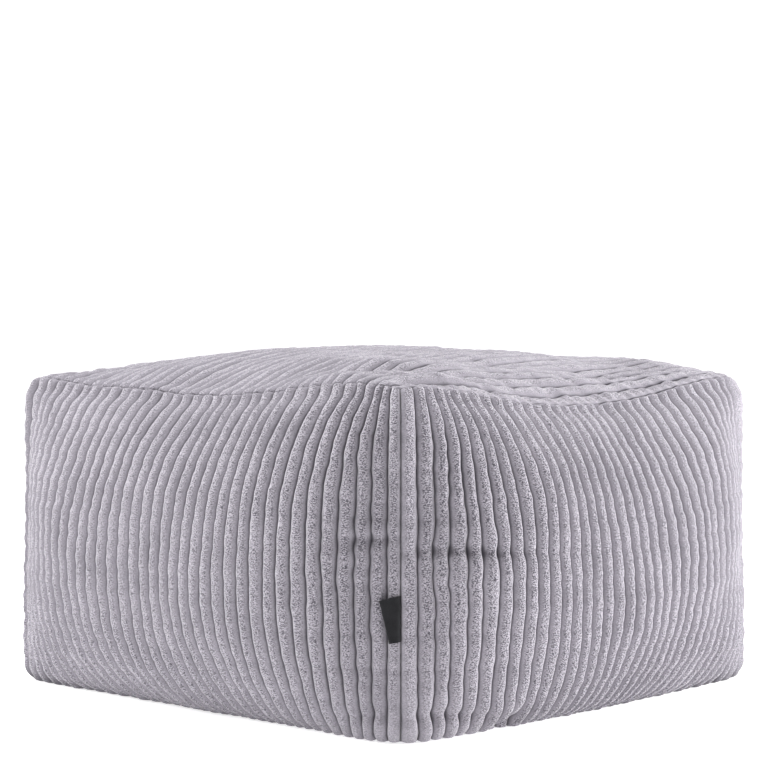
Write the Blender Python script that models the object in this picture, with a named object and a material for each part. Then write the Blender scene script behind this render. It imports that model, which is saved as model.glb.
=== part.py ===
"""Square floor pouf in wide-wale cord, filled firm, with a bare folded tab in one corner seam.

The pouf is one filled solid. Four side panels with upright wales meet a top panel in seams that
are drawn in, and the panels bulge between them. Origin: middle of the underside, +Z up.
The corner seam that holds the tab is at +X -Y. Lengths are metres.
"""
import math

import bmesh
import bpy
import numpy as np

# Seams: a panel's ends are the corner seams, its top and bottom edges the long seams
CORNER_HALF = 0.2535  # from the middle to a corner seam, along X and along Y, at the seam's ends
CORNER_BOW = 0.0075  # how far a corner seam swells out between its ends
CORNER_LEAN = 0.0018  # how far it leans in at its top and out at its foot
CORNER_SQUARENESS = 16.0
CORNER_DROP = 0.003  # how far the top seams dip at the very corners
TOP_SEAM_Z = 0.3125
BOTTOM_SEAM_Z = 0.003
UNDERSIDE_INSET = 0.014  # from the bottom seam in to where the underside lies flat
UNDERSIDE_POINTS_A_SIDE = 12

# A side panel bulges by size * (1 - |share| ** power) ** softness, and so does the crown
ACROSS_POWER = 5.1
ACROSS_SOFTNESS = 1.44
UPPER_POWER = 2.5
LOWER_POWER = 2.77
FULLEST_AT = 0.111
CROWN_HEIGHT = 0.0485
CROWN_POWER = 2.7
CROWN_SOFTNESS = 0.9

# Near the floor a side panel swells beside its corners, then turns under to the bottom seam
FOOT_OUT = 0.012
FOOT_SQUARENESS = 16.0
FOOT_HEIGHT = 0.05
TUCK = 0.015
TUCK_HEIGHT = 0.008

# Places along a top seam, as shares of half its length, where its droop is stated
DROOP_PLACES = (-1.0, -0.7, -0.35, 0.0, 0.35, 0.7, 1.0)

# One row for each side panel, seen from outside: how far the middle of its top seam and that of
# its bottom seam swell out, its bulge, and the droop of its top seam at each place above, left
# to right, in millimetres
SIDE_COLUMNS = ("name", "top_out", "bottom_out", "bulge", "droop_mm")
SIDE_ROWS = (
    ("front", 0.002, 0.0020, 0.0545, (0, 8.6, 10.9, 14.8, 10.8, 1.2, 0)),
    ("right", 0.004, 0.0170, 0.047, (0, 7.5, 19.9, 23.8, 19.1, 7.7, 0)),
    ("back", 0.002, 0.0020, 0.0545, (0, 4, 7, 9, 8, 5, 0)),
    ("left", 0.004, 0.0170, 0.047, (0, 4, 8, 10, 9, 5, 0)),
)
SIDES = [dict(zip(SIDE_COLUMNS, row)) for row in SIDE_ROWS]

# Wales
WALE_PITCH = 0.01513
WALE_HEIGHT = 0.0044
SHOULDERS = (0.28, 0.72)  # where a wale's two shoulders stand between its valleys
FIRST_WALE = {"front": 0.78, "right": 1.0}  # width of the wale beside the tab's corner, in pitches
PANEL_PUFF = 0.0005  # how far a whole panel stands above its seams
PUFF_WIDTH = 0.06  # share of a half panel in which wales and puff sink into a seam

# Rows of points, as shares of half a panel
SIDE_LEVELS = (-1.0, -0.955, -0.88, -0.72, -0.42, 0.0, 0.42, 0.72, 0.9, 0.965, 1.0)
TOP_LEVELS = (-1.0, -0.95, -0.84, -0.58, -0.2, 0.2, 0.58, 0.84, 0.95, 1.0)

# Tab
TAB_Z = 0.112  # height of its middle
TAB_TALL = 0.040
TAB_REACH = 0.0185  # from the seam to the middle of its folded end
TAB_DROOP_DEGREES = 13.5  # it is sewn in askew, so its folded end slants and hangs lower
TAB_THICK = 0.0018
TAB_STEPS = 4
# One row for each place along the tab: share of its reach, how far off the panel
TAB_COLUMNS = ("share", "off")
TAB_ROWS = (
    (0.00, 0.0014),
    (0.12, 0.0052),
    (0.33, 0.0072),
    (0.65, 0.0078),
    (1.00, 0.0086),
)

CORD_COLOUR = (0.26, 0.25, 0.28, 1.0)
TAB_COLOUR = (0.022, 0.022, 0.024, 1.0)


def fullness(share, power, softness):
    """1 at the middle of a panel and 0 at its edges."""
    return np.clip(1.0 - np.abs(np.clip(share, -1.0, 1.0)) ** power, 0.0, 1.0) ** softness


def droop(side, u):
    """Droop of a side's top seam at u, a smooth curve through the stated places."""
    places = np.array(DROOP_PLACES)
    drops = np.array(side["droop_mm"]) / 1000.0
    slopes = np.gradient(drops, places)
    left = np.clip(np.searchsorted(places, u) - 1, 0, len(places) - 2)
    gap = places[left + 1] - places[left]
    t = (u - places[left]) / gap
    start = (1 + 2 * t) * (1 - t) ** 2 * drops[left] + t * (1 - t) ** 2 * gap * slopes[left]
    end = t * t * (3 - 2 * t) * drops[left + 1] - t * t * (1 - t) * gap * slopes[left + 1]
    return start + end


def turned(points, quarter_turns):
    """The points turned about Z, from the front panel's place to another side's."""
    angle = quarter_turns * math.pi / 2
    c, s = round(math.cos(angle)), round(math.sin(angle))
    x, y, z = points[..., 0], points[..., 1], points[..., 2]
    return np.stack([c * x - s * y, s * x + c * y, z], axis=-1)


def side_point(number, u, v):
    """A point of a side panel: u from left to right, v from the bottom seam up, both -1 to 1."""
    side = SIDES[number]
    u, v = np.broadcast_arrays(np.asarray(u, float), np.asarray(v, float))
    up = 0.5 * (1.0 + v)
    half = CORNER_HALF + CORNER_BOW * fullness(v, CORNER_SQUARENESS, 1.0) - CORNER_LEAN * v
    seam_out = up * side["top_out"] + (1.0 - up) * side["bottom_out"]
    from_fullest = v - FULLEST_AT
    reach = np.where(from_fullest > 0.0, 1.0 - FULLEST_AT, 1.0 + FULLEST_AT)
    power = np.where(from_fullest > 0.0, UPPER_POWER, LOWER_POWER)
    rise = 1.0 - np.abs(from_fullest / reach) ** power
    across = fullness(u, ACROSS_POWER, ACROSS_SOFTNESS)
    height = (TOP_SEAM_Z - BOTTOM_SEAM_Z) * up
    out = half + seam_out * fullness(u, 2.0, 1.0) + side["bulge"] * across * rise
    out = out + FOOT_OUT * fullness(u, FOOT_SQUARENESS, 1.0) * np.exp(-height / FOOT_HEIGHT)
    out = out - TUCK * across * np.exp(-height / TUCK_HEIGHT)
    seam_z = TOP_SEAM_Z - droop(side, u) - CORNER_DROP * np.abs(u) ** 20
    z = BOTTOM_SEAM_Z + (seam_z - BOTTOM_SEAM_Z) * up
    return turned(np.stack([half * u, -out, z], axis=-1), number)


def top_point(u, v):
    """A point of the top panel: u along X, v along Y. It is drawn between the four top seams."""
    u, v = np.broadcast_arrays(np.asarray(u, float), np.asarray(v, float))
    s = (0.5 * (1.0 + u))[..., None]
    t = (0.5 * (1.0 + v))[..., None]
    front, right = side_point(0, u, 1.0), side_point(1, v, 1.0)
    back, left = side_point(2, -u, 1.0), side_point(3, -v, 1.0)
    points = (1 - t) * front + t * back + (1 - s) * left + s * right
    for corner, share in (
        (side_point(0, -1.0, 1.0), (1 - s) * (1 - t)),
        (side_point(0, 1.0, 1.0), s * (1 - t)),
        (side_point(2, 1.0, 1.0), (1 - s) * t),
        (side_point(2, -1.0, 1.0), s * t),
    ):
        points = points - share * corner
    crown = fullness(u, CROWN_POWER, CROWN_SOFTNESS) * fullness(v, CROWN_POWER, CROWN_SOFTNESS)
    points[..., 2] += CROWN_HEIGHT * crown
    return points


def outward(surface, u, v):
    """Unit normals of a panel, from points a little apart on it."""
    step = 1e-3
    low_u, high_u = np.clip(u - step, -1, 1), np.clip(u + step, -1, 1)
    low_v, high_v = np.clip(v - step, -1, 1), np.clip(v + step, -1, 1)
    along = surface(high_u, v) - surface(low_u, v)
    up = surface(u, high_v) - surface(u, low_v)
    normals = np.cross(along, up)
    return normals / np.linalg.norm(normals, axis=-1, keepdims=True)


def wale_columns(number, first, from_right):
    """u and raised share of each column of points: a valley, then a wale's two shoulders."""
    fine = np.linspace(-1.0, 1.0, 401)
    line = side_point(number, fine, 0.0)
    lengths = np.concatenate([[0.0], np.cumsum(np.linalg.norm(np.diff(line, axis=0), axis=1))])
    valleys = [0.0]
    valleys += list(np.arange(first * WALE_PITCH, lengths[-1] - WALE_PITCH / 2, WALE_PITCH))
    valleys.append(lengths[-1])
    places, raised = [], []
    for low, high in zip(valleys, valleys[1:]):
        places += [low, *(low + share * (high - low) for share in SHOULDERS)]
        raised += [0.0] + [1.0] * len(SHOULDERS)
    places, raised = np.array(places + [lengths[-1]]), np.array(raised + [0.0])
    if from_right:
        places, raised = lengths[-1] - places[::-1], raised[::-1]
    return np.interp(places, lengths, fine), raised


def raised_points(surface, u, v, raised):
    """Points of a panel with its puff and wales raised, both sunk where they meet a seam."""
    from_ends = np.clip((1.0 - np.abs(v)) / PUFF_WIDTH, 0.0, 1.0)
    from_sides = np.clip((1.0 - np.abs(u)) / PUFF_WIDTH, 0.0, 1.0)
    lift = (PANEL_PUFF * from_sides + WALE_HEIGHT * raised) * from_ends
    return surface(u, v) + outward(surface, u, v) * lift[..., None]


def zip_strip(mesh, first, second):
    """Triangles between two rows of points that start and end side by side."""
    i = j = 0
    while i < len(first) - 1 or j < len(second) - 1:
        share_i = (i + 1) / (len(first) - 1) if i < len(first) - 1 else 2.0
        share_j = (j + 1) / (len(second) - 1) if j < len(second) - 1 else 2.0
        if share_i <= share_j:
            mesh.faces.new((first[i], first[i + 1], second[j]))
            i += 1
        else:
            mesh.faces.new((first[i], second[j + 1], second[j]))
            j += 1


def pouf_mesh():
    """The closed body: rings of points up the sides, the top's grid, and the flat underside."""
    mesh = bmesh.new()
    front = wale_columns(0, FIRST_WALE["front"], from_right=True)
    right = wale_columns(1, FIRST_WALE["right"], from_right=False)
    back = (-front[0][::-1], front[1][::-1])
    left = (-right[0][::-1], right[1][::-1])
    columns = (front, right, back, left)

    rings = []
    for level in SIDE_LEVELS:
        ring = []
        for number, (u, raised) in enumerate(columns):
            v = np.full(len(u), level)
            points = raised_points(lambda a, b: side_point(number, a, b), u, v, raised)
            ring += [mesh.verts.new(point) for point in points[:-1]]
        rings.append(ring)
    around = len(rings[0])
    for low, high in zip(rings, rings[1:]):
        for i in range(around):
            n = (i + 1) % around
            mesh.faces.new((low[i], low[n], high[n], high[i]))

    seam = rings[-1] + rings[-1][:1]
    starts = np.cumsum([0] + [len(u) - 1 for u, _ in columns])
    sides = [seam[a : b + 1] for a, b in zip(starts, starts[1:])]
    u, raised = front
    grid = [sides[0]]
    for level in TOP_LEVELS[1:-1]:
        v = np.full(len(u), level)
        grid.append([mesh.verts.new(p) for p in raised_points(top_point, u, v, raised)[1:-1]])
        grid[-1] = [None, *grid[-1], None]
    grid.append(sides[2][::-1])
    for low, high in zip(grid, grid[1:]):
        for i in range(1, len(u) - 2):
            mesh.faces.new((low[i], low[i + 1], high[i + 1], high[i]))
    zip_strip(mesh, [row[1] for row in grid], sides[3][::-1])
    zip_strip(mesh, sides[1], [row[-2] for row in grid])

    foot = []
    for number in range(len(columns)):
        share = np.linspace(-1.0, 1.0, UNDERSIDE_POINTS_A_SIDE + 1)[:-1]
        for point in side_point(number, share, -1.0):
            reach = np.hypot(point[0], point[1])
            inner = point[:2] * (1.0 - UNDERSIDE_INSET / reach)
            foot.append(mesh.verts.new((inner[0], inner[1], 0.0)))
    zip_strip(mesh, foot + foot[:1], rings[0] + rings[0][:1])
    mesh.faces.new(foot[::-1])
    return mesh


def tab_outline(reach):
    """The tab from above as a closed line, out along one face and back along the other."""
    rows = [dict(zip(TAB_COLUMNS, row)) for row in TAB_ROWS]
    fine = np.linspace(0.9, 1.0, 101)
    height_share = 2.0 * (TAB_Z - BOTTOM_SEAM_Z) / (TOP_SEAM_Z - BOTTOM_SEAM_Z) - 1.0
    line = side_point(0, fine, height_share)[::-1, :2]
    lengths = np.concatenate([[0.0], np.cumsum(np.linalg.norm(np.diff(line, axis=0), axis=1))])
    corner_way = np.array((1.0, -1.0)) / math.sqrt(2.0)
    panel_way = line[-1] - line[0]
    off_way = np.array((-panel_way[1], panel_way[0])) / np.linalg.norm(panel_way)
    middle = []
    for row in rows:
        travel = row["share"] * reach
        on_panel = np.array([np.interp(travel, lengths, line[:, axis]) for axis in (0, 1)])
        blend = min(row["share"] / rows[2]["share"], 1.0)
        way = (1.0 - blend) * corner_way + blend * off_way
        middle.append(on_panel + row["off"] * way / np.linalg.norm(way))
    middle = np.array(middle)
    along = np.gradient(middle, axis=0)
    along /= np.linalg.norm(along, axis=1, keepdims=True)
    across = np.stack([along[:, 1], -along[:, 0]], axis=1) * TAB_THICK / 2.0
    travel = np.array([row["share"] for row in rows]) * reach
    faces = np.concatenate([middle + across, (middle - across)[::-1]])
    return faces, np.concatenate([travel, travel[::-1]])


def tab_mesh():
    """The folded tab, a bent slab whose root stands in the corner seam over the front panel."""
    droop_angle = math.radians(TAB_DROOP_DEGREES)
    mesh = bmesh.new()
    levels = []
    for height in np.linspace(-0.5, 0.5, TAB_STEPS + 1) * TAB_TALL:
        outline, travel = tab_outline(TAB_REACH + height * math.tan(droop_angle))
        z = TAB_Z + height - travel * math.sin(droop_angle)
        levels.append([mesh.verts.new((x, y, h)) for (x, y), h in zip(outline, z)])
    count = len(levels[0])
    for low, high in zip(levels, levels[1:]):
        for i in range(count):
            n = (i + 1) % count
            mesh.faces.new((low[i], low[n], high[n], high[i]))
    for level in (levels[0], levels[-1]):
        for i in range(count // 2 - 1):
            mesh.faces.new((level[i], level[i + 1], level[-2 - i], level[-1 - i]))
    return mesh


def principled(name, colour, roughness):
    material = bpy.data.materials.new(name)
    material.use_nodes = True
    shader = material.node_tree.nodes["Principled BSDF"]
    shader.inputs["Base Color"].default_value = colour
    shader.inputs["Roughness"].default_value = roughness
    shader.inputs["Metallic"].default_value = 0.0
    return material


def add_piece(name, mesh, material):
    """An object of its own from a closed mesh, facing out and shaded smooth."""
    bmesh.ops.recalc_face_normals(mesh, faces=mesh.faces[:])
    bmesh.ops.triangulate(mesh, faces=[face for face in mesh.faces if len(face.verts) > 4])
    data = bpy.data.meshes.new(name)
    mesh.to_mesh(data)
    mesh.free()
    data.materials.append(material)
    data.shade_smooth()
    data.set_sharp_from_angle(angle=math.radians(50.0))
    piece = bpy.data.objects.new(name, data)
    bpy.context.scene.collection.objects.link(piece)
    return piece


for old in list(bpy.data.objects):
    bpy.data.objects.remove(old, do_unlink=True)

add_piece("pouf", pouf_mesh(), principled("cord", CORD_COLOUR, 0.9))
add_piece("tab", tab_mesh(), principled("tab_cloth", TAB_COLOUR, 0.75))
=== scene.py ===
import math

import bmesh
import bpy
import numpy as np
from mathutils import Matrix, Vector


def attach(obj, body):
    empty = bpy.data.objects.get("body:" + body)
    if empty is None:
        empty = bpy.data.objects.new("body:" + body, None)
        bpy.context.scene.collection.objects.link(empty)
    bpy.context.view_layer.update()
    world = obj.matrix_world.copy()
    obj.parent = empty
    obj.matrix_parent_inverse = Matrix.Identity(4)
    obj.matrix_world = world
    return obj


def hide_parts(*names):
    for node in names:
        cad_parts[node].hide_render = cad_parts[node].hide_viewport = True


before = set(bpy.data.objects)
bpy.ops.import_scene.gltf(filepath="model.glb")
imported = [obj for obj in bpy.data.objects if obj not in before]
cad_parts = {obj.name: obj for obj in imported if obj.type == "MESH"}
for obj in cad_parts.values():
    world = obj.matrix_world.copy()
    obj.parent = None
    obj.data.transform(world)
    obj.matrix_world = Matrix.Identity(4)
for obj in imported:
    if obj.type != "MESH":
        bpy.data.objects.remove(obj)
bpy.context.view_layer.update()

# Camera: a long lens, a little above the pouf's crown, turned towards the corner seam that holds
# the tab and tipped down slightly.
CAMERA_AZIMUTH = math.radians(43.09)
CAMERA_DISTANCE = 2.301
CAMERA_HEIGHT = 0.3746
CAMERA_PITCH = math.radians(1.683)
CAMERA_SIDESTEP = -0.0023
SENSOR = 36.0
LENS_IN_PICTURE_WIDTHS = 2204.0 / 768.0
FARTHEST_SEEN = 200.0

camera_data = bpy.data.cameras.new("camera")
camera_data.sensor_width = SENSOR
camera_data.lens = SENSOR * LENS_IN_PICTURE_WIDTHS
camera_data.clip_end = FARTHEST_SEEN
camera_data.dof.use_dof = False
camera = bpy.data.objects.new("camera", camera_data)
back_x, back_y = math.sin(CAMERA_AZIMUTH), -math.cos(CAMERA_AZIMUTH)
camera.location = (
    back_x * CAMERA_DISTANCE - back_y * CAMERA_SIDESTEP,
    back_y * CAMERA_DISTANCE + back_x * CAMERA_SIDESTEP,
    CAMERA_HEIGHT,
)
camera.rotation_euler = (math.pi / 2 - CAMERA_PITCH, 0.0, CAMERA_AZIMUTH)
bpy.context.scene.collection.objects.link(camera)
bpy.context.scene.camera = camera

# Front panel, left of the corner seam with the tab: wide-wale cord, cut square to the grain and
# sewn to its neighbours edge to edge, its wales upright. The filling makes it bulge, and the
# wales are soft tubes of cut pile that end in a bulb where the seams draw them in.

# Its bare form. The corner seams stay nearly upright, the top seam droops between the corners,
# and the panel is fullest above its middle. u runs across it and v up it, both from -1 to 1.
CORNER_HALF = 0.2535
CORNER_BOW = 0.0075
CORNER_LEAN = 0.0018
CORNER_SQUARENESS = 16.0
TOP_SEAM_Z = 0.3125
CORNER_DROP, CORNER_DROP_POWER = 0.003, 20
BOTTOM_SEAM_Z = 0.003
ACROSS_POWER, ACROSS_SOFTNESS = 5.1, 1.44
UPPER_POWER, LOWER_POWER = 2.5, 2.77
FULLEST_AT = 0.111
SEAM_BOW_POWER = 2.0
FOOT_OUT, FOOT_SQUARENESS, FOOT_HEIGHT = 0.012, 16.0, 0.05
TUCK, TUCK_HEIGHT = 0.015, 0.008
SEAM_WOBBLE = 0.0007
CORNER_WOBBLE_PACES, CORNER_WOBBLE_START = (47.0, 19.0), 1.0
TOP_WOBBLE_PACES, TOP_WOBBLE_STEP, TOP_WOBBLE_SQUARENESS = (41.0, 17.0), 6.0, 6.0
DROOP_PLACES = np.array((-1.0, -0.7, -0.35, 0.0, 0.35, 0.7, 1.0))
FRONT_FORM = {
    "top_out": 0.002, "bottom_out": 0.0020, "bulge": 0.0545,
    "droop_mm": (0, 8.6, 10.9, 14.8, 10.8, 1.2, 0),
}
sides = [FRONT_FORM]


def fullness(share, power, softness):
    """1 in the middle and 0 at -1 and 1, flatter in the middle for a higher power."""
    return np.clip(1.0 - np.abs(np.clip(share, -1.0, 1.0)) ** power, 0.0, 1.0) ** softness


def droop(side, u):
    """How far a side's top seam hangs below its corners: a smooth curve through its drops."""
    drops = np.array(side["droop_mm"]) / 1000.0
    slopes = np.gradient(drops, DROOP_PLACES)
    left = np.clip(np.searchsorted(DROOP_PLACES, u) - 1, 0, len(DROOP_PLACES) - 2)
    gap = DROOP_PLACES[left + 1] - DROOP_PLACES[left]
    t = (u - DROOP_PLACES[left]) / gap
    start = (1 + 2 * t) * (1 - t) ** 2 * drops[left] + t * (1 - t) ** 2 * gap * slopes[left]
    end = t * t * (3 - 2 * t) * drops[left + 1] - t * t * (1 - t) * gap * slopes[left + 1]
    return start + end


def turned(points, quarter_turns):
    c, s = ((1, 0), (0, 1), (-1, 0), (0, -1))[quarter_turns]
    x, y, z = points[..., 0], points[..., 1], points[..., 2]
    return np.stack([c * x - s * y, s * x + c * y, z], axis=-1)


def side_point(number, u, v):
    """Places on a side's bare form. The sides are numbered front, right, back and left."""
    side = sides[number]
    u, v = np.broadcast_arrays(np.asarray(u, float), np.asarray(v, float))
    up = 0.5 * (1.0 + v)
    pace, other_pace = CORNER_WOBBLE_PACES
    wobble = SEAM_WOBBLE * np.sin(pace * v + CORNER_WOBBLE_START) * np.sin(other_pace * v)
    half = CORNER_HALF + CORNER_BOW * fullness(v, CORNER_SQUARENESS, 1.0)
    half = half - CORNER_LEAN * v + wobble
    seam_out = up * side["top_out"] + (1.0 - up) * side["bottom_out"]
    from_fullest = v - FULLEST_AT
    reach = np.where(from_fullest > 0.0, 1.0 - FULLEST_AT, 1.0 + FULLEST_AT)
    power = np.where(from_fullest > 0.0, UPPER_POWER, LOWER_POWER)
    rise = 1.0 - np.abs(from_fullest / reach) ** power
    across = fullness(u, ACROSS_POWER, ACROSS_SOFTNESS)
    height = (TOP_SEAM_Z - BOTTOM_SEAM_Z) * up
    out = half + seam_out * fullness(u, SEAM_BOW_POWER, 1.0) + side["bulge"] * across * rise
    out = out + FOOT_OUT * fullness(u, FOOT_SQUARENESS, 1.0) * np.exp(-height / FOOT_HEIGHT)
    out = out - TUCK * across * np.exp(-height / TUCK_HEIGHT)
    pace, other_pace = TOP_WOBBLE_PACES
    pace = pace + TOP_WOBBLE_STEP * number
    wobble = SEAM_WOBBLE * np.sin(pace * u + number) * np.sin(other_pace * u)
    seam_z = TOP_SEAM_Z - droop(side, u) + wobble * fullness(u, TOP_WOBBLE_SQUARENESS, 1.0)
    seam_z = seam_z - CORNER_DROP * np.abs(u) ** CORNER_DROP_POWER
    z = BOTTOM_SEAM_Z + (seam_z - BOTTOM_SEAM_Z) * up
    return turned(np.stack([half * u, -out, z], axis=-1), number)


def side_surface(number):
    return lambda u, v: side_point(number, u, v)


def side_lines(number):
    """A side's level line and its upright line, both through its middle."""
    return lambda u: side_point(number, u, 0.0), lambda v: side_point(number, 0.0, v)


# The cord on that form. Wide wales stand on a woven ground, one beside the other, with a narrow
# valley between them. In the cloth they run straight; on a filled pouf they wander a little,
# thicken and thin, and bulge round the seams.
WALE_PITCH = 0.01513
NARROWEST_WALE = WALE_PITCH / 3
SIDE_WALE_HEIGHT = 0.0060
WALE_ROUNDNESS, WALE_STEEPNESS = 3.0, 0.62
WALE_STEPS = (0.0, 0.03, 0.075, 0.15, 0.25, 0.37, 0.5, 0.63, 0.75, 0.85, 0.925, 0.97)
ROW_GAP = 0.0021
SEAM_ROWS = (0.0, 0.0004, 0.001, 0.0018, 0.0028, 0.004, 0.0055, 0.0075)
MEASURING_POINTS = 801
FLOOR_CLEAR = 0.0003


def ramp(distance, length):
    """0 at no distance, rising evenly to 1 at a length."""
    return np.clip(distance / length, 0.0, 1.0)


def fade(distance, reach=1.0):
    """1 at no distance, fading out softly past a reach."""
    return np.exp(-((distance / reach) ** 2))


def running_length(points, axis):
    steps = np.linalg.norm(np.diff(points, axis=axis), axis=-1)
    first = np.zeros_like(np.take(steps, [0], axis=axis))
    return np.concatenate([first, np.cumsum(steps, axis=axis)], axis=axis)


def surface_normals(surface, u, v, step=1e-3, tiny=1e-12):
    along = surface(np.clip(u + step, -1, 1), v) - surface(np.clip(u - step, -1, 1), v)
    up = surface(u, np.clip(v + step, -1, 1)) - surface(u, np.clip(v - step, -1, 1))
    normals = np.cross(along, up)
    length = np.linalg.norm(normals, axis=-1, keepdims=True)
    return normals / np.maximum(length, tiny)


def wale_columns(line, u, first, from_right, steps):
    """Columns of points across a panel: u, distance across, share of its wale, wale number."""
    lengths = running_length(line, 0)
    whole = lengths[-1]
    valleys = [0.0, *np.arange(first * WALE_PITCH, whole - NARROWEST_WALE, WALE_PITCH), whole]
    across, share, number = [], [], []
    for i, (low, high) in enumerate(zip(valleys, valleys[1:])):
        across += [low + step * (high - low) for step in steps]
        share += list(steps)
        number += [i] * len(steps)
    across, share, number = (
        np.array(across + [whole]),
        np.array(share + [1.0]),
        np.array(number + [number[-1]]),
    )
    places = np.interp(whole - across if from_right else across, lengths, u)
    if from_right:
        places, across, share, number = (a[::-1] for a in (places, across, share, number))
    return places, across, share, number


def row_places(line, gap):
    """Where v lies for a panel's rows of points: close together by each seam."""
    fine = np.linspace(-1.0, 1.0, MEASURING_POINTS)
    lengths = running_length(line(fine), 0)
    near = np.array(SEAM_ROWS)
    inner_rows = int((lengths[-1] - 2 * near[-1]) / gap)
    inner = np.linspace(near[-1], lengths[-1] - near[-1], inner_rows)
    places = np.concatenate([near[:-1], inner, lengths[-1] - near[-2::-1]])
    return np.interp(places, lengths, fine)


# How the seams draw the cord in: each seam stands off the bare form, and faces between its two
# panels, so that neighbours meet along it.
CORNER_SEAM_LIFT, TOP_SEAM_LIFT = 0.0026, 0.0050
TOP_SEAM_REACH, TOP_SEAM_RISE = 0.09, 0.6
SIDEWAYS_POWER, UPWARD_POWER, DOWNWARD_POWER = 9, 7, 20


def away(points):
    """The way a seam faces: between the ways its two panels face, known from its place alone."""
    x, y = points[..., 0] / CORNER_HALF, points[..., 1] / CORNER_HALF
    z = points[..., 2] / TOP_SEAM_Z
    facing = np.stack([
        np.sign(x) * np.clip(np.abs(x), 0.0, 1.0) ** SIDEWAYS_POWER,
        np.sign(y) * np.clip(np.abs(y), 0.0, 1.0) ** SIDEWAYS_POWER,
        np.clip(z, 0.0, 1.0) ** UPWARD_POWER - np.clip(1.0 - z, 0.0, 1.0) ** DOWNWARD_POWER,
    ], axis=-1)
    return facing / np.linalg.norm(facing, axis=-1, keepdims=True)


def seam_lift(points):
    """How far a seam stands off the bare form: more along the top, where the pile closes over."""
    above = points[..., 2] - TOP_SEAM_Z + TOP_SEAM_REACH
    near_top = ramp(above, TOP_SEAM_RISE * TOP_SEAM_REACH)
    return CORNER_SEAM_LIFT + (TOP_SEAM_LIFT - CORNER_SEAM_LIFT) * near_top


# How the cord strays from even: valleys that wander, wales that thicken and thin, ends that
# differ, filling that lumps, puckers along the seams and pile that stands unevenly.
PHASES = (0.0, 6.28)
WAVE_RANGE = (1.4, 2.8)
SIZE_RANGE = (0.75, 1.35)
WANDER, WANDER_SIZE, WANDER_INLAND = 0.0004, 0.06, 0.03
LONG_WAVES = ((0.17, 1.2), (0.075, 0.45), (0.034, 0.15))
SHORT_WAVES = ((0.060, 0.9), (0.028, 1.0), (0.015, 0.5))
UNEVEN_WIDTH = 0.9
END_ROUND = 0.0072
END_BULB, BULB_RANGE, BULB_PLACE, BULB_WIDTH = 0.16, (-0.2, 1.6), 0.009, 0.006
THICK_SHARE, THICK_LENGTH, WALES_APART = 0.035, 0.026, 5.3
THICK_PATCH_SHARE, THICK_PATCH_SIZE = 0.05, 0.035
LUMPS, LUMP_SIZE, LUMP_INLAND = 0.0016, 0.07, 0.05
PUCKER_REACH, PUCKER_INLAND, PUCKER_SIZE, PUCKER_SLIMNESS = 0.07, 0.01, 0.013, 1.4
PILE, PILE_INLAND = 0.00007, 0.004
DENT_COLUMNS = ("across", "up", "long", "wide", "tilt", "depth", "push", "neck")
DENT_INLAND = 0.012
RIDGE_SHARE, RIDGE_PLACE, NECK_TIGHTNESS = 0.42, 1.9, 1.3


def waves(x, y, size, seed, count=7):
    """A smooth uneven field between about -1 and 1, whose bumps are about size across."""
    draw = np.random.default_rng(seed)
    total = np.zeros(np.broadcast(x, y).shape)
    for _ in range(count):
        way = draw.uniform(0.0, 2.0 * math.pi)
        pace = 2.0 * math.pi / (size * draw.uniform(*WAVE_RANGE))
        total += np.sin(pace * (x * math.cos(way) + y * math.sin(way)) + draw.uniform(*PHASES))
    return total / math.sqrt(count)


def valley_paths(count, up, seed, sizes, uneven=0.0):
    """How far each valley strays sideways on its way up: a row for each height."""
    draw = np.random.default_rng(seed)
    total = np.zeros((len(up), count)) + uneven * draw.standard_normal(count)
    for size, strength in sizes:
        pace = 2.0 * math.pi / (size * draw.uniform(*SIZE_RANGE, count))
        total += strength * np.sin(up[:, None] * pace + draw.uniform(*PHASES, count))
    return total


def dent_field(rows, across, up):
    """Depth, sideways push and necking of the wales at the creases, soft troughs all.

    A row gives a crease's place across and up the panel, its length and width, its tilt in
    degrees, and how far it sinks, pushes the wales sideways and necks them. A neck also
    widens the valleys' painted shade.
    """
    depth, push, neck = (np.zeros_like(across) for _ in range(3))
    for row in rows:
        dent = dict(zip(DENT_COLUMNS, row))
        tilt = math.radians(dent["tilt"])
        x, y = across - dent["across"], up - dent["up"]
        along = (x * math.cos(tilt) + y * math.sin(tilt)) / dent["long"]
        over = (y * math.cos(tilt) - x * math.sin(tilt)) / dent["wide"]
        reach = fade(along)
        trough = fade(over) - RIDGE_SHARE * fade(np.abs(over) - RIDGE_PLACE)
        depth -= dent["depth"] * reach * trough
        push += dent["push"] * reach * fade(over)
        neck += dent["neck"] * reach * fade(NECK_TIGHTNESS * over)
    return depth, push, neck


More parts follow.
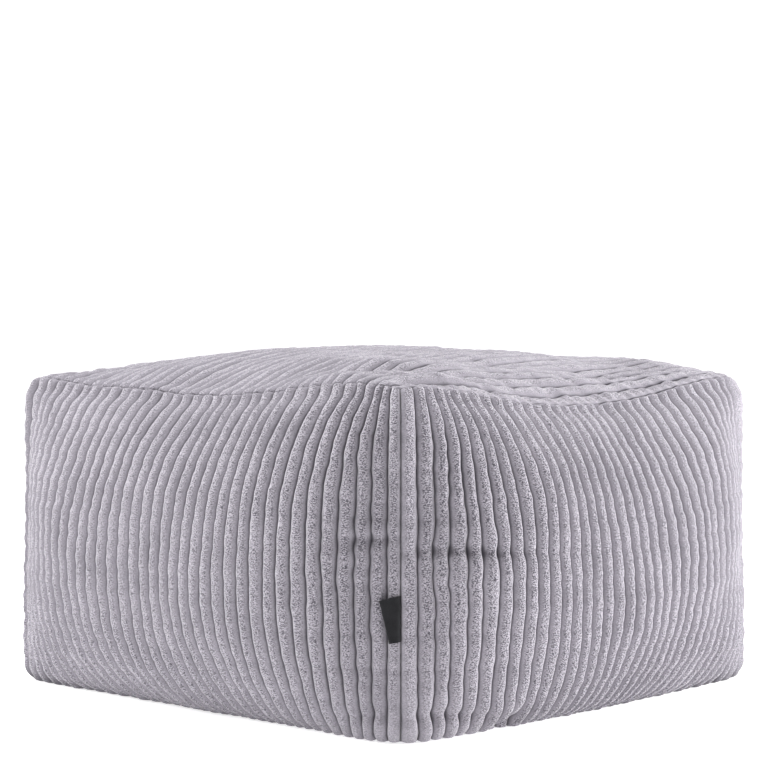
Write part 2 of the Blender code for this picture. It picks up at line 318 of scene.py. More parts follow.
class CordGrid:
    """The points of a cord panel, each with its place among the panel's wales and seams.

    Each uneven field draws from a seed of its own, counted on from the panel's seed.
    """

    def __init__(self, surface, lines, first, from_right, steps, gap, seed):
        across_line, up_line = lines
        fine = np.linspace(-1.0, 1.0, MEASURING_POINTS)
        columns = wale_columns(across_line(fine), fine, first, from_right, steps)
        u, across, self.share, self.number = columns
        self.u, self.v = np.meshgrid(u, row_places(up_line, gap))
        bare = surface(self.u, self.v)
        from_left = running_length(bare, 1)
        self.seed = seed
        self.across = np.broadcast_to(across, self.u.shape)
        self.from_bottom = running_length(bare, 0)
        self.from_side = np.minimum(from_left, from_left[:, -1:] - from_left)
        self.from_end = np.minimum(self.from_bottom, self.from_bottom[-1:] - self.from_bottom)
        self.from_seam = np.minimum(self.from_side, self.from_end)
        self.near_tab = fade(self.across, NAP_REACH)

    def between_valleys(self, paths):
        return paths[:, self.number] * (1.0 - self.share) + paths[:, self.number + 1] * self.share

    def wander(self, rumple):
        """How far the cloth strays sideways: slowly all over, and quickly beside the tab."""
        up = self.from_bottom[:, self.u.shape[1] // 2]
        count = self.number.max() + 2
        slow = valley_paths(count, up, self.seed, LONG_WAVES, UNEVEN_WIDTH)
        quick = valley_paths(count, up, self.seed + 8, SHORT_WAVES)
        total = WANDER * self.between_valleys(slow)
        total += WANDER * rumple * self.near_tab * self.between_valleys(quick)
        total += WANDER * waves(self.across, self.from_bottom, WANDER_SIZE, self.seed + 1)
        return total

    def wale_shape(self, neck):
        """A wale's roundness across, and its standing along: round and bulbed by its ends."""
        draw = np.random.default_rng(self.seed + 2)
        count = self.number.max() + 1
        round_each = END_ROUND * draw.uniform(*SIZE_RANGE, count)[self.number]
        short = np.clip(1.0 - self.from_end / round_each, 0.0, 1.0)
        end = np.sqrt(1.0 - short**2)
        bulb_each = END_BULB * draw.uniform(*BULB_RANGE, count)[self.number]
        end *= 1.0 + bulb_each * fade(self.from_end - BULB_PLACE, BULB_WIDTH)
        crest = fullness(2.0 * self.share - 1.0, WALE_ROUNDNESS, WALE_STEEPNESS)
        return np.broadcast_to(crest, end.shape) ** (1.0 + neck), end

    def thickness(self, edge_share, edge_beads):
        """How thick a wale is, along it. The first and the last are slim and beaded by a seam."""
        each = np.broadcast_to(self.number, self.u.shape) * WALES_APART
        along = self.from_bottom / THICK_LENGTH
        thick = 1.0 + THICK_SHARE * waves(each, along, 1.0, self.seed + 3)
        patches = waves(self.across, self.from_bottom, THICK_PATCH_SIZE, self.seed + 4)
        thick += THICK_PATCH_SHARE * patches
        by_edge = (self.number == 0) | (self.number == self.number.max())
        bead = np.cos(2.0 * math.pi * self.from_bottom / WALE_PITCH)
        return thick * np.where(by_edge, edge_share * (1.0 + edge_beads * bead), 1.0)

    def unevenness(self, puckers):
        """Lumps of the filling inland, and the puckers that a tight seam draws beside it."""
        uneven = LUMPS * waves(self.across, self.from_bottom, LUMP_SIZE, self.seed + 5)
        uneven *= ramp(self.from_side, LUMP_INLAND) * ramp(self.from_end, LUMP_INLAND)
        slim = self.across * PUCKER_SLIMNESS
        by_seam = fade(self.from_side, PUCKER_REACH) * ramp(self.from_side, PUCKER_INLAND)
        uneven += puckers * by_seam * waves(slim, self.from_bottom, PUCKER_SIZE, self.seed + 7)
        return uneven

    def pile(self, crest):
        """The tufts' own unevenness, which gives out at a wale's end."""
        tufts = np.random.default_rng(self.seed + 6).standard_normal(self.u.shape)
        return PILE * tufts * crest * ramp(self.from_end, PILE_INLAND)


# How the pile shows: its crests, and its valleys and the wales' ends by the seams painted dark as
# shade; its brushed flanks beside the tab, with painted shade speckled between the standing
# tufts;
# and the painted shade where a panel turns under at its foot.
NAP_NEAR, NAP_FAR, NAP_REACH = 1.0, 0.50, 0.19
# The wales' ends by the seams are painted darker, as shade; this share of the pile still shows
# there.
END_UNSHADED = 0.66
FOOT_SHADE, FOOT_SHADE_REACH = 0.92, 0.018
# At the foot the nap changes: away from the tab more painted shade is speckled into the pile, and
# by the tab less, so it looks lighter there.
FOOT_NAP, FOOT_NAP_REACH, FOOT_SMOOTH = 1.4, 0.085, 0.85


def pile_marks(grid, crest, end, nap, darkest, foot_shade):
    """What the cord's material reads at each point: crest, which falls in the valleys, at the
    wales' ends and at the foot for painted shade; middle of its wale; and nap, which sets how
    much painted shade is speckled between the standing tufts.
    """
    # Painted shade: the valleys, the wales' ends by the seams and, away from the tab, the foot
    # are darkened towards the ground in shade.
    turned_under = fade(grid.from_bottom, FOOT_SHADE_REACH) * (1.0 - grid.near_tab)
    unshaded = crest * np.clip(END_UNSHADED + end, 0.0, 1.0) * (1.0 - foot_shade * turned_under)
    nap_near, nap_far = nap
    # The nap sets how much painted shade is speckled between the standing tufts: most at a
    # panel's darkest place beside the tab, more at the foot away from it, less at the foot by it.
    nap_and_shade = nap_far + (nap_near - nap_far) * fade(grid.across - darkest, NAP_REACH)
    low = foot_shade * fade(grid.from_bottom, FOOT_NAP_REACH)
    nap_and_shade = nap_and_shade * (1.0 - FOOT_SMOOTH * low * grid.near_tab)
    nap_and_shade = nap_and_shade + FOOT_NAP * low * (1.0 - grid.near_tab)
    middle = np.broadcast_to(1.0 - np.abs(2.0 * grid.share - 1.0), end.shape)
    return {"crest": unshaded, "middle": middle, "nap": nap_and_shade}


def add_grid(name, points, marks):
    """A smooth mesh from a grid of points, with a number kept at each point for its material."""
    rows, columns = points.shape[:2]
    index = np.arange(rows * columns).reshape(rows, columns)
    faces = np.stack([index[:-1, :-1], index[:-1, 1:], index[1:, 1:], index[1:, :-1]], axis=-1)
    faces = faces.reshape(-1, 4)
    mesh = bpy.data.meshes.new(name)
    mesh.vertices.add(rows * columns)
    mesh.vertices.foreach_set("co", points.reshape(-1).astype(np.float32))
    mesh.loops.add(faces.size)
    mesh.loops.foreach_set("vertex_index", faces.reshape(-1).astype(np.int32))
    mesh.polygons.add(len(faces))
    mesh.polygons.foreach_set("loop_start", np.arange(0, faces.size, 4, dtype=np.int32))
    mesh.update(calc_edges=True)
    mesh.shade_smooth()
    for mark, values in marks.items():
        kept = mesh.attributes.new(mark, "FLOAT", "POINT")
        kept.data.foreach_set("value", np.ascontiguousarray(values, dtype=np.float32).reshape(-1))
    piece = bpy.data.objects.new(name, mesh)
    bpy.context.scene.collection.objects.link(piece)
    return piece


def cord_panel(name, surface, lines, first, from_right, dents=(), seed=1, steps=WALE_STEPS,
               gap=ROW_GAP, height=SIDE_WALE_HEIGHT, edge_share=1.0, edge_beads=0.0,
               nap=(NAP_FAR, NAP_FAR), darkest=0.0, foot_shade=0.0, puckers=0.0, rumple=0.0):
    """A panel of cord as a grid of points, its wales raised from the bare form."""
    grid = CordGrid(surface, lines, first, from_right, steps, gap, seed)
    depth, push, neck = dent_field(dents, grid.across, grid.from_bottom)
    depth *= ramp(grid.from_seam, DENT_INLAND)
    inland = ramp(grid.from_side, WANDER_INLAND)
    shift = (grid.wander(rumple) * inland + push * inland) / CORNER_HALF
    u = np.clip(grid.u - shift if from_right else grid.u + shift, -1.0, 1.0)
    points = surface(u, grid.v)
    by_seam = fade(grid.from_seam, END_ROUND)[..., None]
    normals = (1.0 - by_seam) * surface_normals(surface, u, grid.v) + by_seam * away(points)
    normals /= np.linalg.norm(normals, axis=-1, keepdims=True)
    crest, end = grid.wale_shape(neck)
    wales = height * crest * grid.thickness(edge_share, edge_beads) * end
    lift = grid.unevenness(puckers) + depth + wales + grid.pile(crest)
    lift = lift + seam_lift(points) * by_seam[..., 0]
    points = points + normals * lift[..., None]
    points[..., 2] = np.maximum(points[..., 2], FLOOR_CLEAR)
    return add_grid(name, points, pile_marks(grid, crest, end, nap, darkest, foot_shade))


class Number:
    """A number from a node. Sums and products of it add Math nodes."""

    def __init__(self, finish, socket):
        self.finish, self.socket = finish, socket

    def reckon(self, operation, first, second):
        node = self.finish.add("ShaderNodeMath", {"operation": operation}, {0: first, 1: second})
        return Number(self.finish, node.outputs[0])

    def __add__(self, other):
        return self.reckon("ADD", self, other)

    def __radd__(self, other):
        return self.reckon("ADD", other, self)

    def __sub__(self, other):
        return self.reckon("SUBTRACT", self, other)

    def __rsub__(self, other):
        return self.reckon("SUBTRACT", other, self)

    def __mul__(self, other):
        return self.reckon("MULTIPLY", self, other)

    def __rmul__(self, other):
        return self.reckon("MULTIPLY", other, self)

    def clipped(self):
        return self.reckon("MINIMUM", self.reckon("MAXIMUM", self, 0.0), 1.0)


class Finish:
    """A material under making, with one method for every kind of node."""

    def __init__(self, name, roughness, **sockets):
        self.material = bpy.data.materials.new(name)
        self.material.use_nodes = True
        self.tree = self.material.node_tree
        self.shader = self.tree.nodes["Principled BSDF"]
        self.shader.inputs["Roughness"].default_value = roughness
        for socket, value in sockets.items():
            self.shader.inputs[socket.replace("_", " ")].default_value = value

    def add(self, kind, settings, sockets):
        node = self.tree.nodes.new(kind)
        for setting, value in settings.items():
            setattr(node, setting, value)
        for socket, value in sockets.items():
            value = value.socket if isinstance(value, Number) else value
            if isinstance(value, bpy.types.NodeSocket):
                self.tree.links.new(value, node.inputs[socket])
            else:
                node.inputs[socket].default_value = value
        return node

    def place(self, stretch):
        """Where a point is on the piece, in metres, stretched along each axis."""
        where = self.add("ShaderNodeTexCoord", {}, {}).outputs["Object"]
        settings = {"operation": "MULTIPLY"}
        return self.add("ShaderNodeVectorMath", settings, {0: where, 1: stretch}).outputs[0]

    def noise(self, size, detail=2.0, roughness=0.5, stretch=(1.0, 1.0, 1.0)):
        sockets = {"Vector": self.place(stretch), "Scale": 1.0 / size, "Detail": detail}
        sockets["Roughness"] = roughness
        node = self.add("ShaderNodeTexNoise", {"noise_dimensions": "3D"}, sockets)
        return Number(self, node.outputs[0])

    def bands(self, size, direction):
        """Even ribs, size apart, one after another along an axis."""
        settings = {"wave_type": "BANDS", "bands_direction": direction}
        sockets = {"Vector": self.place((1.0, 1.0, 1.0)), "Scale": math.pi / 10.0 / size}
        return Number(self, self.add("ShaderNodeTexWave", settings, sockets).outputs["Fac"])

    def mark(self, name):
        node = self.add("ShaderNodeAttribute", {"attribute_name": name}, {})
        return Number(self, node.outputs["Fac"])

    def blend(self, first, second, share):
        settings = {"data_type": "RGBA"}
        node = self.add("ShaderNodeMix", settings, {"Factor": share, 6: first, 7: second})
        return node.outputs[2]

    def colour(self, socket):
        self.tree.links.new(socket, self.shader.inputs["Base Color"])

    def rough(self, number):
        self.tree.links.new(number.socket, self.shader.inputs["Roughness"])

    def bump(self, height, deep, strength=1.0):
        sockets = {"Height": height, "Distance": deep, "Strength": strength}
        node = self.add("ShaderNodeBump", {}, sockets)
        self.tree.links.new(node.outputs[0], self.shader.inputs["Normal"])


# Cool light grey pile, its colour painted between a shaded and a lit copy of it. Along the middle
# of a wale the tufts stand up and look speckled with painted shade, between them and over them;
# on its flanks they lie over and look smooth and lighter, with little of it. Brushed patches turn
# lighter or darker.
TUFT, CLUMP, PATCH = 0.0012, 0.0040, 0.05
TUFT_ROUGHNESS, TUFT_STRETCH = 0.6, (0.75, 0.75, 1.4)
# The woven ground as painted shade: its dark colour shades the valleys, the wales' ends by the
# seams and the foot.
GROUND_IN_SHADE = (0.07, 0.066, 0.078, 1.0)
SHADED_PILE = (0.075, 0.069, 0.085, 1.0)
LIT_PILE = (0.368, 0.347, 0.388, 1.0)
MEAN_TONE, CLUMP_TONE, PATCH_TONE = 0.66, 0.2, 0.5
LYING_SPECKLE, STANDING_SPECKLE, STANDING_SHADE = 0.55, 4.2, 0.115
STANDS_FROM, STANDS_STEEPLY, STANDS_BY_PATCH = 0.30, 2.6, 1.6
CREST_REACH = 1.7
LYING_RELIEF, STANDING_RELIEF, CLUMP_RELIEF, TUFT_DEPTH = 0.25, 0.75, 0.12, 0.0011

cord = Finish("cord", roughness=0.95, Sheen_Weight=0.25, Sheen_Roughness=0.5,
              Specular_IOR_Level=0.1)
tufts = cord.noise(TUFT, detail=1.0, roughness=TUFT_ROUGHNESS, stretch=TUFT_STRETCH)
clumps = cord.noise(CLUMP)
patches = cord.noise(PATCH, detail=1.0)
crest = cord.mark("crest")
by_middle = (cord.mark("middle") - STANDS_FROM) * STANDS_STEEPLY
standing = (by_middle + (patches - 0.5) * STANDS_BY_PATCH).clipped()
nap = cord.mark("nap")
# Painted shade: speckled between the tufts and laid over those that stand, most where the nap is
# high.
speckle = (tufts - 0.5) * (LYING_SPECKLE + standing * nap * STANDING_SPECKLE)
tone = MEAN_TONE + speckle + (clumps - 0.5) * CLUMP_TONE
tone = tone + (patches - 0.5) * PATCH_TONE - standing * nap * STANDING_SHADE
pile_colour = cord.blend(SHADED_PILE, LIT_PILE, tone.clipped())
# Painted shade: towards the valleys, the wales' ends and the foot, the pile gives way to the
# ground in shade.
cord.colour(cord.blend(GROUND_IN_SHADE, pile_colour, (crest * CREST_REACH).clipped()))
relief = tufts * (LYING_RELIEF + standing * STANDING_RELIEF) + clumps * CLUMP_RELIEF
cord.bump(relief, TUFT_DEPTH)

# The panel itself. Its left part lies smooth and leans over at the foot; near the tab the wales
# stand straighter, with a crease across the first two halfway up and a neck at the foot.
FRONT_FIRST_WALE = 0.78
FRONT_DENT_ROWS = (
    (0.035, 0.027, 0.032, 0.007, -3.0, 0.0020, 0.0, 0.7),
    (0.028, 0.184, 0.027, 0.0055, 3.0, 0.0038, 0.0, 1.5),
    (0.330, 0.000, 0.170, 0.058, 0.0, 0.0, -0.0320, 0.0),
    (0.330, 0.310, 0.170, 0.090, 0.0, 0.0, -0.0170, 0.0),
    (0.100, 0.000, 0.060, 0.050, 0.0, 0.0, 0.0040, 0.0),
    (0.080, 0.335, 0.070, 0.032, 0.0, 0.0, -0.0105, 0.0),
    # A broad neck beside the tab slims the wales, widening the valleys' painted shade.
    (0.030, 0.200, 0.100, 0.250, 0.0, 0.0, 0.0, 0.55),
)


def put_on_pouf(panel, finish):
    """One panel of the filled pouf: its cloth, and what it is in the shared frame."""
    panel.data.materials.append(finish.material)
    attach(panel, "root")


front = cord_panel("front_panel", side_surface(0), side_lines(0), FRONT_FIRST_WALE, True,
                   FRONT_DENT_ROWS, seed=11, nap=(NAP_NEAR, NAP_FAR), foot_shade=FOOT_SHADE,
                   rumple=1.0)
put_on_pouf(front, cord)

# Right panel: the same cord, cut and sewn as the front one, its wales upright. A crease crosses
# the wales next to the tab's corner halfway up, where the filling has settled, and the cord
# there is brushed, its tufts standing most about 10 cm from the seam, where the most painted
# shade is speckled between them.
RIGHT_FORM = {
    "top_out": 0.004, "bottom_out": 0.0170, "bulge": 0.047,
    "droop_mm": (0, 7.5, 19.9, 23.8, 19.1, 7.7, 0),
}
RIGHT_FIRST_WALE = 1.0
RIGHT_DENT_ROWS = (
    (0.060, 0.177, 0.057, 0.007, 4.5, 0.0032, 0.0014, 1.8),
    (0.060, 0.235, 0.060, 0.050, 0.0, 0.0, 0.0, 0.7),
    (0.055, 0.148, 0.060, 0.020, 4.5, -0.0020, -0.0010, 0.0),
    (0.060, 0.215, 0.055, 0.034, 0.0, 0.0034, 0.0030, 0.0),
    (0.050, 0.340, 0.050, 0.080, 0.0, 0.0, 0.0080, 0.0),
    (0.060, 0.230, 0.030, 0.030, 0.0, 0.0, -0.0022, 0.0),
    (0.045, 0.026, 0.045, 0.007, 2.0, 0.0034, 0.0, 1.3),
    (0.124, 0.016, 0.018, 0.012, 40.0, 0.0080, -0.0030, 0.9),
    (0.118, 0.245, 0.030, 0.070, 0.0, 0.0032, 0.0, 0.25),
    (0.390, 0.000, 0.140, 0.055, 0.0, 0.0, -0.0420, 0.0),
    (0.340, 0.310, 0.150, 0.090, 0.0, 0.0, -0.0180, 0.0),
    (0.110, 0.000, 0.070, 0.060, 0.0, 0.0, 0.0070, 0.0),
    (0.085, 0.335, 0.065, 0.030, 0.0, 0.0, -0.0115, 0.0),
)
RIGHT_NAP, DARKEST_AT = 1.25, 0.10

sides.append(RIGHT_FORM)
right = cord_panel("right_panel", side_surface(1), side_lines(1), RIGHT_FIRST_WALE, False,
                   RIGHT_DENT_ROWS, seed=23, nap=(RIGHT_NAP, NAP_FAR), darkest=DARKEST_AT,
                   foot_shade=FOOT_SHADE, rumple=1.0)
put_on_pouf(right, cord)

# Back and left panels: the same cord, cut and sewn as the other two. They are out of the photo's
# sight, so they are plainer: no creases, and fewer points to a wale.
BACK_FORM = {
    "top_out": 0.002, "bottom_out": 0.0020, "bulge": 0.0545,
    "droop_mm": (0, 4, 7, 9, 8, 5, 0),
}
LEFT_FORM = {
    "top_out": 0.004, "bottom_out": 0.0170, "bulge": 0.047,
    "droop_mm": (0, 4, 8, 10, 9, 5, 0),
}
BACK_FIRST_WALE, LEFT_FIRST_WALE = 0.6, 0.7
PLAIN_GAP = 0.0032
PLAIN_STEPS = (0.0, 0.05, 0.15, 0.3, 0.5, 0.7, 0.85, 0.95)

sides += [BACK_FORM, LEFT_FORM]
back = cord_panel("back_panel", side_surface(2), side_lines(2), BACK_FIRST_WALE, True,
                  seed=37, steps=PLAIN_STEPS, gap=PLAIN_GAP)
left = cord_panel("left_panel", side_surface(3), side_lines(3), LEFT_FIRST_WALE, False,
                  seed=41, steps=PLAIN_STEPS, gap=PLAIN_GAP)
put_on_pouf(back, cord)
put_on_pouf(left, cord)

# Top panel: the same cord, sewn to the four sides, its wales running from the front seam to the
# back one. It is crowned by the filling, soft folds lie behind the near corner, and the first
# and the last wale bead where they are caught beside a seam.
CROWN_HEIGHT, CROWN_POWER, CROWN_SOFTNESS = 0.0503, 2.7, 0.9
TOP_FIRST_WALE = 0.85
TOP_WALE_HEIGHT = 0.0050
TOP_GAP = 0.003
TOP_NAP = 0.5
EDGE_SHARE, EDGE_BEADS = 0.60, 0.32
PUCKERS = 0.0011
TOP_DENT_ROWS = (
    (0.425, 0.050, 0.038, 0.018, 43.0, 0.0050, 0.0020, 0.0),
    (0.472, 0.088, 0.034, 0.019, 38.0, 0.0034, 0.0030, 0.0),
    (0.503, 0.075, 0.060, 0.011, 82.0, -0.0042, 0.0, 0.0),
    (0.430, 0.015, 0.055, 0.011, 0.0, -0.0036, 0.0, 0.0),
    (0.390, 0.060, 0.035, 0.020, -20.0, 0.0025, -0.0030, 0.0),
    (0.430, 0.230, 0.050, 0.022, 70.0, 0.0030, 0.0040, 0.0),
    (0.370, 0.180, 0.050, 0.028, 20.0, 0.0017, 0.0020, 0.0),
    (0.465, 0.330, 0.040, 0.020, 75.0, 0.0030, 0.0040, 0.0),
    (0.395, 0.390, 0.080, 0.060, 0.0, 0.0036, 0.0, 0.0),
    (0.235, 0.235, 0.100, 0.080, 0.0, -0.0026, 0.0, 0.0),
    (0.450, 0.490, 0.060, 0.050, 0.0, -0.0055, 0.0, 0.0),
)


def between_sides(u, v, level):
    """Places on a skin stretched between the four sides at one of their levels, 1 or -1."""
    s = (0.5 * (1.0 + u))[..., None]
    t = (0.5 * (1.0 + v))[..., None]
    front_seam, right_seam = side_point(0, u, level), side_point(1, v, level)
    back_seam, left_seam = side_point(2, -u, level), side_point(3, -v, level)
    points = (1 - t) * front_seam + t * back_seam + (1 - s) * left_seam + s * right_seam
    for corner, share in (
        (side_point(0, -1.0, level), (1 - s) * (1 - t)),
        (side_point(0, 1.0, level), s * (1 - t)),
        (side_point(2, 1.0, level), (1 - s) * t),
        (side_point(2, -1.0, level), s * t),
    ):
        points = points - share * corner
    return points


def top_point(u, v):
    u, v = np.broadcast_arrays(np.asarray(u, float), np.asarray(v, float))
    points = between_sides(u, v, 1.0)
    crown = fullness(u, CROWN_POWER, CROWN_SOFTNESS) * fullness(v, CROWN_POWER, CROWN_SOFTNESS)
    points[..., 2] += CROWN_HEIGHT * crown
    return points


top_lines = (lambda u: top_point(u, 0.0), lambda v: top_point(0.0, v))
top = cord_panel("top_panel", top_point, top_lines, TOP_FIRST_WALE, False, TOP_DENT_ROWS,
                 seed=53, gap=TOP_GAP, height=TOP_WALE_HEIGHT, edge_share=EDGE_SHARE,
                 edge_beads=EDGE_BEADS, nap=(TOP_NAP, TOP_NAP), puckers=PUCKERS)
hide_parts("pouf")
put_on_pouf(top, cord)

# Underside: one plain panel of woven cloth, flat where the pouf rests and turned up at its rim
# to the seams of the four sides. It is out of the photo's sight.
UNDERSIDE_INSET, UNDERSIDE_TURN_POWER = 0.014, 1.5
UNDERSIDE_ROWS = 60
UNDERSIDE_THREAD, UNDERSIDE_DEPTH, UNDERSIDE_RELIEF = 0.0012, 0.0004, 0.8
UNDERSIDE_DARK = (0.30, 0.29, 0.32, 1.0)
UNDERSIDE_LIGHT = (0.42, 0.41, 0.45, 1.0)


def underside_point(u, v):
    points = between_sides(u, v, -1.0)
    inset = CORNER_HALF * (1.0 - np.maximum(np.abs(u), np.abs(v)))
    rim = np.clip(1.0 - inset / UNDERSIDE_INSET, 0.0, 1.0)
    points[..., 2] = BOTTOM_SEAM_Z * rim**UNDERSIDE_TURN_POWER
    points = points + CORNER_SEAM_LIFT * fade(inset, END_ROUND)[..., None] * away(points)
    points[..., 2] = np.maximum(points[..., 2], 0.0)
    return points


places = np.sin(np.linspace(-1.0, 1.0, UNDERSIDE_ROWS) * math.pi / 2)
u_grid, v_grid = np.meshgrid(places[::-1], places)
underside = add_grid("underside", underside_point(u_grid, v_grid), {})
woven = Finish("underside_cloth", roughness=0.9)
threads = woven.noise(UNDERSIDE_THREAD, detail=1.0)
woven.colour(woven.blend(UNDERSIDE_DARK, UNDERSIDE_LIGHT, threads))
woven.bump(threads, UNDERSIDE_DEPTH, UNDERSIDE_RELIEF)
put_on_pouf(underside, woven)

# Tab: a short length of near-black woven tape, folded in two, its cut ends caught in the corner
# seam a little askew, so that it rides over the first wale and its fold droops. It is bare.
TAB_Z = 0.112
TAB_TALL = 0.040
TAB_REACH = 0.0185
TAB_ROOT = 0.004
TAB_DROOP = math.radians(13.5)
TAPE_LONG, TAPE_THICK = 0.045, 0.0008
FOLD_ROUND, FOLD_SHARPNESS = 0.0011, math.radians(40.0)
TAB_ROWS, TAB_STEPS, FOLD_STEPS = 26, 16, 8
TAB_PATH = (
    (0.0000, -0.0030),
    (0.0002, 0.0015),
    (0.0010, 0.0050),
    (0.0030, 0.0082),
    (0.0065, 0.0097),
    (0.0110, 0.0100),
    (0.0165, 0.0104),
    (0.0230, 0.0112),
)
PATH_STEP = 0.0012
BESIDE_FROM = 0.006
NEAR_SEAM_U, NEAR_SEAM_POINTS = 0.85, 201
SAME_PLACE = 1e-6


def tab_path(travel):
    """Places along the tape, and the way across it, as (along the panel, off the panel)."""
    path = np.array(TAB_PATH)
    lengths = running_length(path, 0)

    def at(far):
        return np.stack([np.interp(far, lengths, column) for column in path.T], axis=-1)

    way = at(travel + PATH_STEP) - at(travel - PATH_STEP)
    way /= np.linalg.norm(way, axis=-1, keepdims=True)
    return at(travel), way, np.stack([-way[..., 1], way[..., 0]], axis=-1)


def tab_contour(reach, apart):
    """A closed loop's half: out along one layer, round the fold and back along the other."""
    travel = np.linspace(0.0, reach - apart, TAB_STEPS)
    middle, way, over = tab_path(travel)
    turn = np.linspace(math.pi / 2, -math.pi / 2, FOLD_STEPS)[1:-1, None]
    fold = middle[-1] + apart * (np.cos(turn) * way[-1] + np.sin(turn) * over[-1])
    return np.concatenate([middle + apart * over, fold, (middle - apart * over)[::-1]])


def level_of(z):
    """Where v lies on a side for a height above the floor."""
    return 2.0 * (z - BOTTOM_SEAM_Z) / (TOP_SEAM_Z - BOTTOM_SEAM_Z) - 1.0


def beside_panel(flat, z):
    """Points given as (along the panel, off it), stood beside the front panel at heights z."""
    fine = np.linspace(1.0, NEAR_SEAM_U, NEAR_SEAM_POINTS)
    lengths = running_length(side_point(0, fine, level_of(TAB_Z)), 0)
    u, v = np.interp(flat[..., 0], lengths, fine), level_of(z)
    base = side_point(0, u, v)
    base[..., 2] = z
    share = ramp(flat[..., :1], BESIDE_FROM)
    normals = surface_normals(side_surface(0), u, v)
    normals[..., 2] = 0.0
    off = share * normals + (1.0 - share) * np.array((1.0, -1.0, 0.0)) / math.sqrt(2.0)
    off /= np.linalg.norm(off, axis=-1, keepdims=True)
    return base + off * flat[..., 1:]


tab_points = []
for across in np.linspace(-0.5, 0.5, TAB_ROWS) * TAB_TALL:
    reach = TAB_REACH + across * math.tan(TAB_DROOP) + TAB_ROOT
    outer = tab_contour(reach, FOLD_ROUND + TAPE_THICK / 2)
    inner = tab_contour(reach, FOLD_ROUND - TAPE_THICK / 2)[::-1]
    loop = np.concatenate([outer, inner, outer[:1]])
    z = TAB_Z + across - np.clip(loop[:, 0], 0.0, None) * math.sin(TAB_DROOP)
    tab_points.append(beside_panel(loop, z))
tab = add_grid("folded_tab", np.array(tab_points), {})
tab_body = bmesh.new()
tab_body.from_mesh(tab.data)
bmesh.ops.remove_doubles(tab_body, verts=tab_body.verts[:], dist=SAME_PLACE)
cut_edges = [edge for edge in tab_body.edges if edge.is_boundary]
for low in (True, False):
    rim = [e for e in cut_edges if (sum(v.co.z for v in e.verts) < 2.0 * TAB_Z) == low]
    ends = bmesh.ops.holes_fill(tab_body, edges=rim, sides=0)["faces"]
    bmesh.ops.triangulate(tab_body, faces=ends)
bmesh.ops.recalc_face_normals(tab_body, faces=tab_body.faces[:])
tab_body.to_mesh(tab.data)
tab_body.free()
tab.data.set_sharp_from_angle(angle=FOLD_SHARPNESS)

RIB, THREAD, CLOUD = 0.0007, 0.0004, 0.012
TAPE_DARK = (0.004, 0.004, 0.005, 1.0)
TAPE_LIGHT = (0.022, 0.022, 0.025, 1.0)
MIDDLE_TONE, RIB_TONE, THREAD_TONE, CLOUD_TONE = 0.5, 0.5, 0.7, 0.6
TAPE_ROUGHNESS, THREAD_ROUGHNESS = 0.55, 0.2
TAPE_DEPTH, RIB_RELIEF, THREAD_RELIEF = 0.0003, 0.7, 0.5

tape = Finish("tab_cloth", roughness=TAPE_ROUGHNESS, Specular_IOR_Level=0.12, Sheen_Weight=0.05)
weft = tape.bands(RIB, "Z")
threads = tape.noise(THREAD, detail=1.0)
cloud = tape.noise(CLOUD, detail=1.0)
tone = MIDDLE_TONE + (weft - 0.5) * RIB_TONE + (threads - 0.5) * THREAD_TONE
tone = tone + (cloud - 0.5) * CLOUD_TONE
tape.colour(tape.blend(TAPE_DARK, TAPE_LIGHT, tone.clipped()))
tape.rough(TAPE_ROUGHNESS + threads * THREAD_ROUGHNESS)
tape.bump(weft * RIB_RELIEF + threads * THREAD_RELIEF, TAPE_DEPTH)
tab.data.materials.append(tape.material)
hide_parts("tab")
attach(tab, "root")

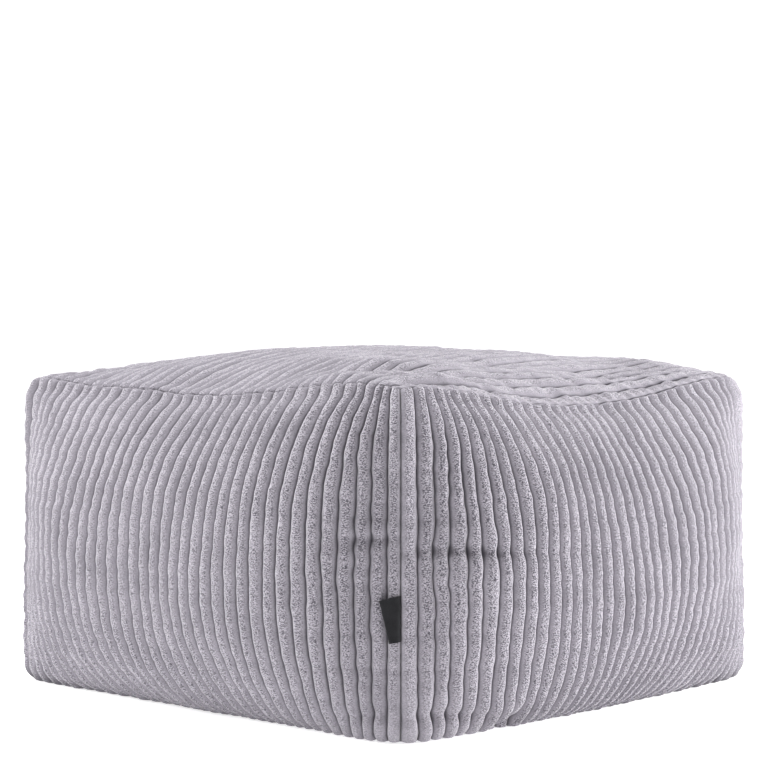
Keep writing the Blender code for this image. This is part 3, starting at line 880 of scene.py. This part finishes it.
# Floor and light: a pale floor, a white backdrop far behind, a dim room, a soft light above the
# pouf and one at each side, low enough to rake across the wales.
FLOOR_HALF, FLOOR_GLOW = 45.0, 0.62
BACKDROP_AWAY, BACKDROP_HALF, BACKDROP_TALL, BACKDROP_GLOW = 42.0, 16.0, 16.0, 1.0
PALE = (0.93, 0.93, 0.93, 1.0)
WHITE = (1.0, 1.0, 1.0, 1.0)
ROOM_GLOW = 0.47
LIT_PLACE = Vector((0.0, 0.0, 0.17))
LIGHT_COLUMNS = ("name", "azimuth", "height", "distance", "size", "watts")
LIGHT_ROWS = (
    ("over", -40.0, 2.7, 0.7, 1.6, 103.0),
    ("left_side", -56.0, 0.85, 2.5, 0.9, 42.0),
    ("right_side", 137.0, 0.42, 2.5, 0.9, 93.0),
)


def studio_sheet(name, finish_name, corners, glow):
    """A flat pale sheet of the studio, which glows a little."""
    mesh = bpy.data.meshes.new(name)
    mesh.from_pydata(corners, [], [(0, 1, 2, 3)])
    sheet = bpy.data.objects.new(name, mesh)
    bpy.context.scene.collection.objects.link(sheet)
    finish = Finish(finish_name, roughness=0.9, Specular_IOR_Level=0.0, Base_Color=PALE,
                    Emission_Color=WHITE, Emission_Strength=glow)
    sheet.data.materials.append(finish.material)


corners = [(-FLOOR_HALF, -FLOOR_HALF, 0.0), (FLOOR_HALF, -FLOOR_HALF, 0.0)]
corners += [(FLOOR_HALF, FLOOR_HALF, 0.0), (-FLOOR_HALF, FLOOR_HALF, 0.0)]
studio_sheet("floor", "pale_floor", corners, FLOOR_GLOW)

way_x, way_y = -back_x * BACKDROP_AWAY, -back_y * BACKDROP_AWAY
side_x, side_y = -back_y * BACKDROP_HALF, back_x * BACKDROP_HALF
corners = [(way_x - side_x, way_y - side_y, 0.0), (way_x + side_x, way_y + side_y, 0.0)]
corners += [(x, y, BACKDROP_TALL) for x, y, _ in corners[::-1]]
studio_sheet("backdrop", "white_backdrop", corners, BACKDROP_GLOW)

world = bpy.data.worlds.new("studio")
world.use_nodes = True
world.node_tree.nodes["Background"].inputs["Color"].default_value = WHITE
world.node_tree.nodes["Background"].inputs["Strength"].default_value = ROOM_GLOW
bpy.context.scene.world = world

for row in LIGHT_ROWS:
    light = dict(zip(LIGHT_COLUMNS, row))
    lamp = bpy.data.lights.new(light["name"], "AREA")
    lamp.shape = "DISK"
    lamp.size = light["size"]
    lamp.energy = light["watts"]
    held = bpy.data.objects.new(light["name"], lamp)
    way = math.radians(light["azimuth"])
    held.location = (
        math.sin(way) * light["distance"],
        -math.cos(way) * light["distance"],
        light["height"],
    )
    held.rotation_euler = (LIT_PLACE - held.location).to_track_quat("-Z", "Y").to_euler()
    bpy.context.scene.collection.objects.link(held)

bpy.context.scene.view_settings.view_transform = "Standard"
